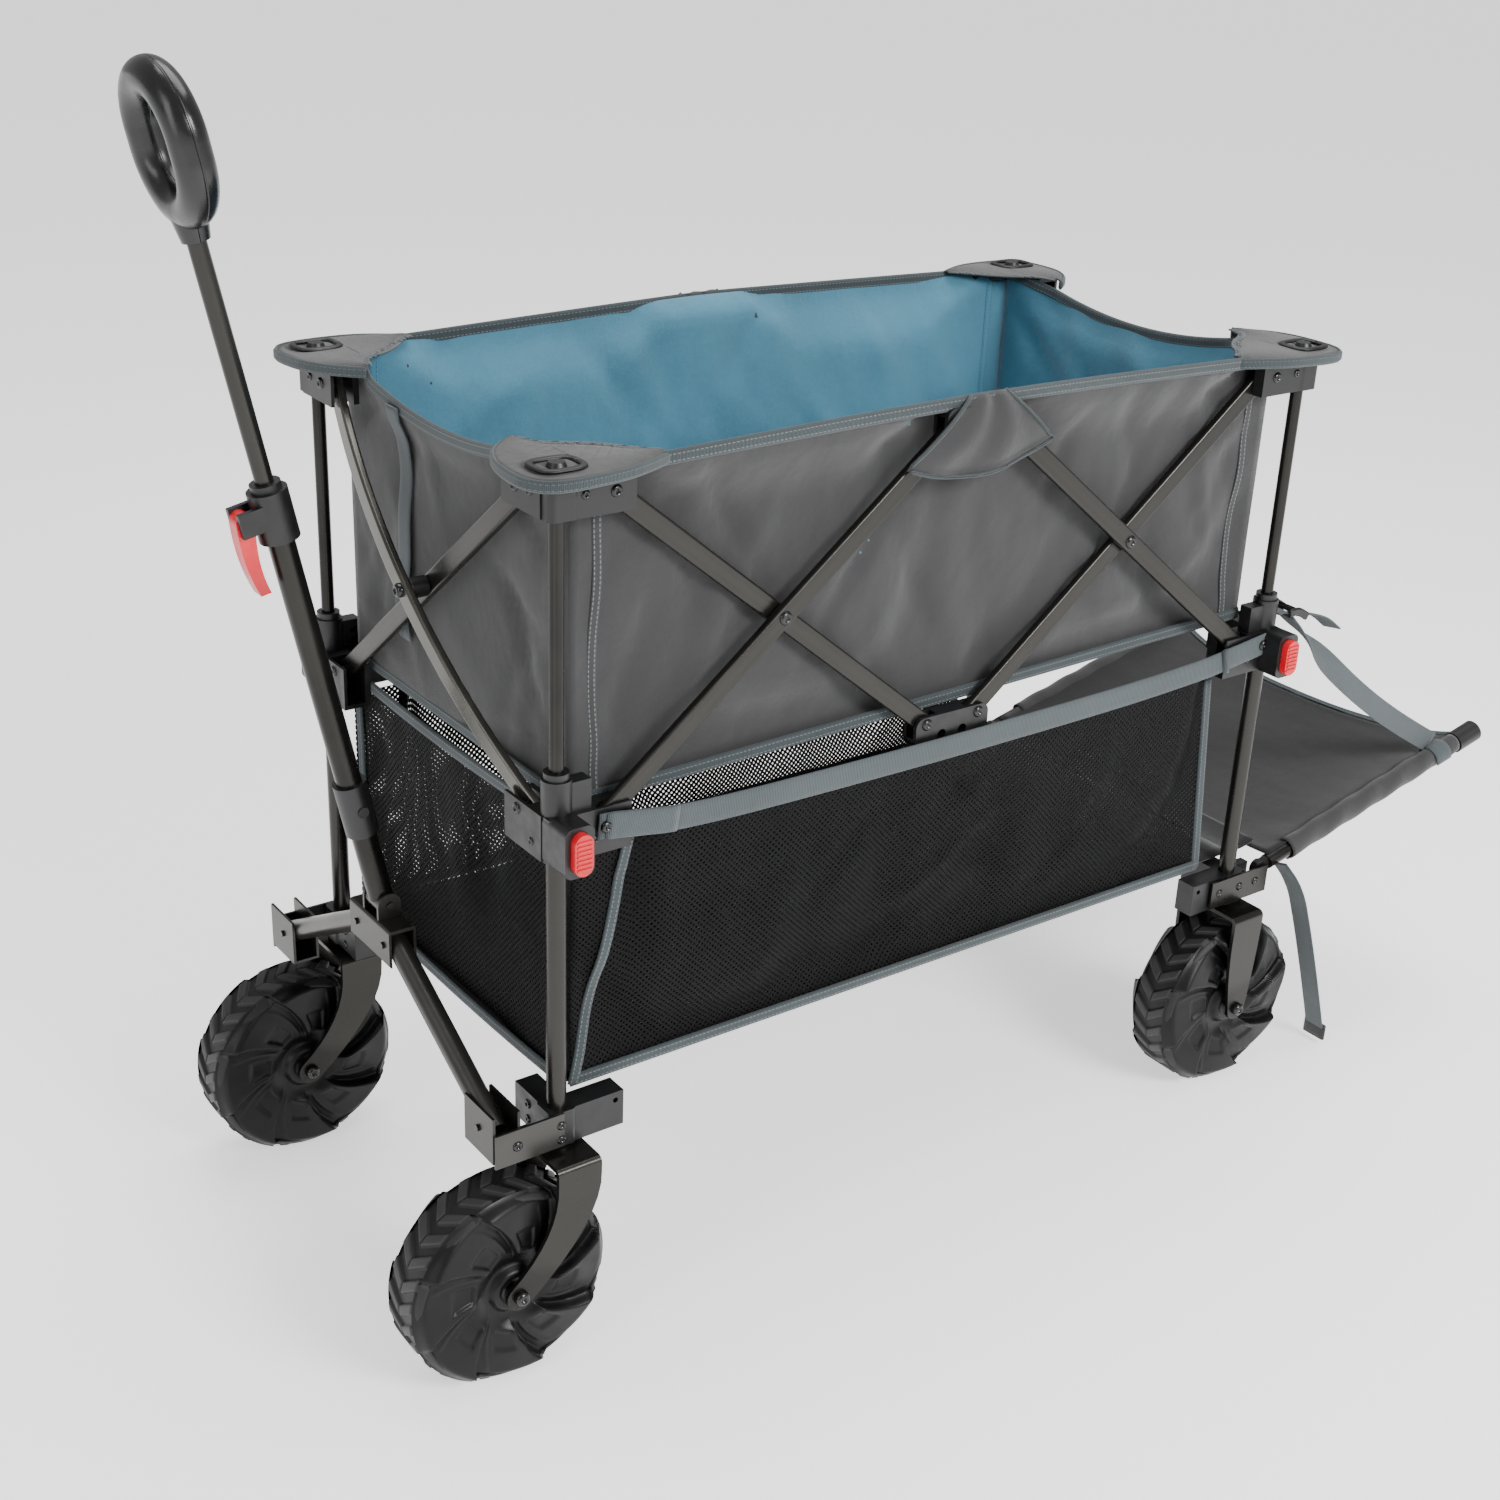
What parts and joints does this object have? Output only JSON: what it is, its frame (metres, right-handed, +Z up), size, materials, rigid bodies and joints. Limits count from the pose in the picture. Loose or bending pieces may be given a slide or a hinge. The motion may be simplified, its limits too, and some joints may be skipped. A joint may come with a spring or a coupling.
{
  "type": "folding double-decker beach cart",
  "caption": "Folding scissor-frame cart with an upper fabric basket, an open mesh lower deck with a drop tailgate, a telescopic pull handle and wide wheels.",
  "frame": {"origin": "on the ground, under the middle of the cart's overall box without its hanging strap", "axes": "+Z up, +X towards the tailgate end, -X towards the pull handle, -Y the cart's left side"},
  "size_m": [1.422, 0.496, 1.0712],
  "materials": {
    "painted_steel": "satin",
    "bright_steel": "satin",
    "red_plastic": "gloss",
    "wheel_plastic": "satin",
    "black_plastic": "satin",
    "grey_fabric": "woven",
    "blue_fabric": "woven",
    "black_mesh": "open mesh",
    "charcoal_fabric": "woven",
    "webbing": "ribbed"
  },
  "bodies": {
    "front_left": {"lower_post_front_left": "painted_steel", "slider_block_front_left": "black_plastic", "bottom_bracket_front_left": "black_plastic", "steering_clevis_left": "bright_steel", "lower_deck": "black_mesh"},
    "top_front_left": {"corner_upright_front_left": "black_plastic", "basket": "grey_fabric"},
    "button_front_left": {"latch_button_front_left": "red_plastic"},
    "caster_left": {"fork_front_left": "painted_steel"},
    "wheel_front_left": {"wheel_front_left": "wheel_plastic"},
    "front_right": {"lower_post_front_right": "painted_steel", "slider_block_front_right": "black_plastic", "bottom_bracket_front_right": "black_plastic", "steering_clevis_right": "bright_steel"},
    "top_front_right": {"corner_upright_front_right": "black_plastic"},
    "button_front_right": {"latch_button_front_right": "red_plastic"},
    "caster_right": {"fork_front_right": "painted_steel"},
    "wheel_front_right": {"wheel_front_right": "wheel_plastic"},
    "rear_left": {"lower_post_rear_left": "painted_steel", "slider_block_rear_left": "black_plastic", "bottom_bracket_rear_left": "black_plastic", "fork_rear_left": "painted_steel"},
    "top_rear_left": {"corner_upright_rear_left": "black_plastic"},
    "button_rear_left": {"latch_button_rear_left": "red_plastic"},
    "wheel_rear_left": {"wheel_rear_left": "wheel_plastic"},
    "rear_right": {"lower_post_rear_right": "painted_steel", "slider_block_rear_right": "black_plastic", "bottom_bracket_rear_right": "black_plastic", "fork_rear_right": "painted_steel"},
    "top_rear_right": {"corner_upright_rear_right": "black_plastic"},
    "button_rear_right": {"latch_button_rear_right": "red_plastic"},
    "wheel_rear_right": {"wheel_rear_right": "wheel_plastic"},
    "left_bar_1": {"left_bar_1": "painted_steel"},
    "left_bar_2": {"left_bar_2": "painted_steel"},
    "left_bar_3": {"left_bar_3": "painted_steel"},
    "left_bar_4": {"left_bar_4": "painted_steel"},
    "centre_top_left": {"centre_top_left": "black_plastic"},
    "centre_bottom_left": {"centre_bottom_left": "black_plastic"},
    "crossbar_left": {"crossbar_left": "bright_steel"},
    "right_bar_1": {"right_bar_1": "painted_steel"},
    "right_bar_2": {"right_bar_2": "painted_steel"},
    "right_bar_3": {"right_bar_3": "painted_steel"},
    "right_bar_4": {"right_bar_4": "painted_steel"},
    "centre_top_right": {"centre_top_right": "black_plastic"},
    "centre_bottom_right": {"centre_bottom_right": "black_plastic"},
    "crossbar_right": {"crossbar_right": "bright_steel"},
    "front_bar_1": {"front_bar_1": "painted_steel"},
    "front_bar_2": {"front_bar_2": "painted_steel"},
    "rear_bar_1": {"rear_bar_1": "painted_steel"},
    "rear_bar_2": {"rear_bar_2": "painted_steel"},
    "handle_base": {"handle_base": "bright_steel"},
    "handle": {"handle_tube": "painted_steel", "handle_collar": "black_plastic"},
    "handle_slide": {"inner_tube": "painted_steel", "grip": "black_plastic"},
    "cam_lever": {"cam_lever": "red_plastic"},
    "tailgate_left": {"tailgate_arm_left": "painted_steel", "tailgate_panel": "charcoal_fabric", "closure_strap": "webbing"},
    "tailgate_right": {"tailgate_arm_right": "painted_steel"}
  },
  "joints": [
    {"name": "frame_fold", "type": "hinge", "parent": "front_left", "child": "left_bar_1", "pos_m": [-0.44312, -0.20875, 0.508], "axis": [0, -1, 0], "range_deg": [0, 38.97], "deforming": ["basket", "lower_deck", "tailgate_panel"]},
    {"name": "left_bar_2_swing", "type": "hinge", "parent": "left_bar_1", "child": "left_bar_2", "pos_m": [-0.27662, -0.204, 0.642], "axis": [0, -1, 0], "range_deg": [-79.5, 0]},
    {"name": "centre_top_left_swing", "type": "hinge", "parent": "left_bar_1", "child": "centre_top_left", "pos_m": [-0.11012, -0.20875, 0.776], "axis": [0, -1, 0], "range_deg": [-39.75, 0]},
    {"name": "centre_bottom_left_swing", "type": "hinge", "parent": "left_bar_2", "child": "centre_bottom_left", "pos_m": [-0.11012, -0.19925, 0.508], "axis": [0, -1, 0], "range_deg": [0, 39.75]},
    {"name": "left_bar_3_swing", "type": "hinge", "parent": "centre_top_left", "child": "left_bar_3", "pos_m": [-0.05012, -0.20875, 0.776], "axis": [0, -1, 0], "range_deg": [-39.75, 0]},
    {"name": "left_bar_4_swing", "type": "hinge", "parent": "centre_bottom_left", "child": "left_bar_4", "pos_m": [-0.05012, -0.19925, 0.508], "axis": [0, -1, 0], "range_deg": [0, 39.75]},
    {"name": "rear_left_swing", "type": "hinge", "parent": "left_bar_3", "child": "rear_left", "pos_m": [0.28288, -0.20875, 0.508], "axis": [0, -1, 0], "range_deg": [0, 39.75]},
    {"name": "top_rear_left_swing", "type": "hinge", "parent": "left_bar_4", "child": "top_rear_left", "pos_m": [0.28288, -0.19925, 0.776], "axis": [0, -1, 0], "range_deg": [-39.75, 0]},
    {"name": "top_front_left_swing", "type": "hinge", "parent": "left_bar_2", "child": "top_front_left", "pos_m": [-0.44312, -0.19925, 0.776], "axis": [0, -1, 0], "range_deg": [0, 39.75]},
    {"name": "front_bar_1_swing", "type": "hinge", "parent": "front_left", "child": "front_bar_1", "pos_m": [-0.48812, -0.1665, 0.508], "axis": [1, 0, 0], "range_deg": [0, 39.75]},
    {"name": "front_bar_2_swing", "type": "hinge", "parent": "front_bar_1", "child": "front_bar_2", "pos_m": [-0.48812, 0, 0.642], "axis": [1, 0, 0], "range_deg": [-79.5, 0]},
    {"name": "front_right_swing", "type": "hinge", "parent": "front_bar_2", "child": "front_right", "pos_m": [-0.48812, 0.1665, 0.508], "axis": [1, 0, 0], "range_deg": [0, 39.75]},
    {"name": "top_front_right_swing", "type": "hinge", "parent": "front_bar_1", "child": "top_front_right", "pos_m": [-0.48812, 0.1665, 0.776], "axis": [1, 0, 0], "range_deg": [-39.75, 0]},
    {"name": "right_bar_1_swing", "type": "hinge", "parent": "front_right", "child": "right_bar_1", "pos_m": [-0.44312, 0.20875, 0.508], "axis": [0, -1, 0], "range_deg": [0, 39.75]},
    {"name": "right_bar_2_swing", "type": "hinge", "parent": "right_bar_1", "child": "right_bar_2", "pos_m": [-0.27662, 0.204, 0.642], "axis": [0, -1, 0], "range_deg": [-79.5, 0]},
    {"name": "centre_top_right_swing", "type": "hinge", "parent": "right_bar_1", "child": "centre_top_right", "pos_m": [-0.11012, 0.20875, 0.776], "axis": [0, -1, 0], "range_deg": [-39.75, 0]},
    {"name": "centre_bottom_right_swing", "type": "hinge", "parent": "right_bar_2", "child": "centre_bottom_right", "pos_m": [-0.11012, 0.19925, 0.508], "axis": [0, -1, 0], "range_deg": [0, 39.75]},
    {"name": "right_bar_3_swing", "type": "hinge", "parent": "centre_top_right", "child": "right_bar_3", "pos_m": [-0.05012, 0.20875, 0.776], "axis": [0, -1, 0], "range_deg": [-39.75, 0]},
    {"name": "right_bar_4_swing", "type": "hinge", "parent": "centre_bottom_right", "child": "right_bar_4", "pos_m": [-0.05012, 0.19925, 0.508], "axis": [0, -1, 0], "range_deg": [0, 39.75]},
    {"name": "rear_right_swing", "type": "hinge", "parent": "right_bar_3", "child": "rear_right", "pos_m": [0.28288, 0.20875, 0.508], "axis": [0, -1, 0], "range_deg": [0, 39.75]},
    {"name": "top_rear_right_swing", "type": "hinge", "parent": "right_bar_4", "child": "top_rear_right", "pos_m": [0.28288, 0.19925, 0.776], "axis": [0, -1, 0], "range_deg": [-39.75, 0]},
    {"name": "rear_bar_1_swing", "type": "hinge", "parent": "rear_left", "child": "rear_bar_1", "pos_m": [0.32788, -0.1665, 0.508], "axis": [1, 0, 0], "range_deg": [0, 39.75]},
    {"name": "rear_bar_2_swing", "type": "hinge", "parent": "rear_bar_1", "child": "rear_bar_2", "pos_m": [0.32788, 0, 0.642], "axis": [1, 0, 0], "range_deg": [-79.5, 0]},
    {"name": "crossbar_left_swing", "type": "hinge", "parent": "front_left", "child": "crossbar_left", "pos_m": [-0.54312, -0.192, 0.238], "axis": [1, 0, 0], "range_deg": [0, 48.22]},
    {"name": "handle_base_swing", "type": "hinge", "parent": "crossbar_left", "child": "handle_base", "pos_m": [-0.54312, -0.0255, 0.33029], "axis": [1, 0, 0], "range_deg": [-48.22, 0]},
    {"name": "crossbar_right_swing", "type": "hinge", "parent": "handle_base", "child": "crossbar_right", "pos_m": [-0.54312, 0.0255, 0.33029], "axis": [1, 0, 0], "range_deg": [-48.22, 0]},
    {"name": "handle_tilt", "type": "hinge", "parent": "handle_base", "child": "handle", "pos_m": [-0.54312, 0, 0.36079], "axis": [0, -1, 0], "range_deg": [-6, 78]},
    {"name": "handle_telescope", "type": "slide", "parent": "handle", "child": "handle_slide", "axis": [-0.2147, 0, 0.9767], "range_m": [-0.16, 0]},
    {"name": "cam_lever_flip", "type": "hinge", "parent": "handle", "child": "cam_lever", "pos_m": [-0.64925, 0, 0.72244], "axis": [0, 1, 0], "range_deg": [0, 80]},
    {"name": "caster_left_swivel", "type": "hinge", "parent": "front_left", "child": "caster_left", "pos_m": [-0.48812, -0.204, 0.206], "axis": [0, 0, 1], "continuous": true},
    {"name": "wheel_front_left_spin", "type": "hinge", "parent": "caster_left", "child": "wheel_front_left", "pos_m": [-0.54612, -0.204, 0.094], "axis": [0, 1, 0], "continuous": true},
    {"name": "wheel_rear_left_spin", "type": "hinge", "parent": "rear_left", "child": "wheel_rear_left", "pos_m": [0.32788, -0.204, 0.094], "axis": [0, 1, 0], "continuous": true},
    {"name": "latch_front_left_press", "type": "slide", "parent": "front_left", "child": "button_front_left", "axis": [0, 1, 0], "range_m": [0, 0.004], "stiffness_N_per_m": 300},
    {"name": "latch_rear_left_press", "type": "slide", "parent": "rear_left", "child": "button_rear_left", "axis": [0, 1, 0], "range_m": [0, 0.004], "stiffness_N_per_m": 300},
    {"name": "caster_right_swivel", "type": "hinge", "parent": "front_right", "child": "caster_right", "pos_m": [-0.48812, 0.204, 0.206], "axis": [0, 0, 1], "continuous": true},
    {"name": "wheel_front_right_spin", "type": "hinge", "parent": "caster_right", "child": "wheel_front_right", "pos_m": [-0.54612, 0.204, 0.094], "axis": [0, 1, 0], "continuous": true},
    {"name": "wheel_rear_right_spin", "type": "hinge", "parent": "rear_right", "child": "wheel_rear_right", "pos_m": [0.32788, 0.204, 0.094], "axis": [0, 1, 0], "continuous": true},
    {"name": "latch_front_right_press", "type": "slide", "parent": "front_right", "child": "button_front_right", "axis": [0, -1, 0], "range_m": [0, 0.004], "stiffness_N_per_m": 300},
    {"name": "latch_rear_right_press", "type": "slide", "parent": "rear_right", "child": "button_rear_right", "axis": [0, -1, 0], "range_m": [0, 0.004], "stiffness_N_per_m": 300},
    {"name": "tailgate_swing", "type": "hinge", "parent": "rear_left", "child": "tailgate_left", "pos_m": [0.36788, -0.212, 0.238], "axis": [0, -1, 0], "range_deg": [0, 74]},
    {"name": "tailgate_right_swing", "type": "hinge", "parent": "rear_right", "child": "tailgate_right", "pos_m": [0.36788, 0.212, 0.238], "axis": [0, -1, 0], "range_deg": [0, 74.1]}
  ],
  "couplings": [
    {"joint": "left_bar_2_swing", "follows": "frame_fold", "ratio": -2},
    {"joint": "centre_top_left_swing", "follows": "frame_fold", "ratio": -1},
    {"joint": "centre_bottom_left_swing", "follows": "frame_fold", "ratio": 1},
    {"joint": "left_bar_3_swing", "follows": "frame_fold", "ratio": -1},
    {"joint": "left_bar_4_swing", "follows": "frame_fold", "ratio": 1},
    {"joint": "rear_left_swing", "follows": "frame_fold", "ratio": 1},
    {"joint": "top_rear_left_swing", "follows": "frame_fold", "ratio": -1},
    {"joint": "top_front_left_swing", "follows": "frame_fold", "ratio": 1},
    {"joint": "front_bar_1_swing", "follows": "frame_fold", "ratio": 1},
    {"joint": "front_bar_2_swing", "follows": "frame_fold", "ratio": -2},
    {"joint": "front_right_swing", "follows": "frame_fold", "ratio": 1},
    {"joint": "top_front_right_swing", "follows": "frame_fold", "ratio": -1},
    {"joint": "right_bar_1_swing", "follows": "frame_fold", "ratio": 1},
    {"joint": "right_bar_2_swing", "follows": "frame_fold", "ratio": -2},
    {"joint": "centre_top_right_swing", "follows": "frame_fold", "ratio": -1},
    {"joint": "centre_bottom_right_swing", "follows": "frame_fold", "ratio": 1},
    {"joint": "right_bar_3_swing", "follows": "frame_fold", "ratio": -1},
    {"joint": "right_bar_4_swing", "follows": "frame_fold", "ratio": 1},
    {"joint": "rear_right_swing", "follows": "frame_fold", "ratio": 1},
    {"joint": "top_rear_right_swing", "follows": "frame_fold", "ratio": -1},
    {"joint": "rear_bar_1_swing", "follows": "frame_fold", "ratio": 1},
    {"joint": "rear_bar_2_swing", "follows": "frame_fold", "ratio": -2},
    {"joint": "crossbar_left_swing", "follows": "frame_fold", "ratio": 1.213},
    {"joint": "handle_base_swing", "follows": "frame_fold", "ratio": -1.213},
    {"joint": "crossbar_right_swing", "follows": "frame_fold", "ratio": -1.213},
    {"joint": "tailgate_right_swing", "follows": "tailgate_swing", "ratio": 1}
  ]
}
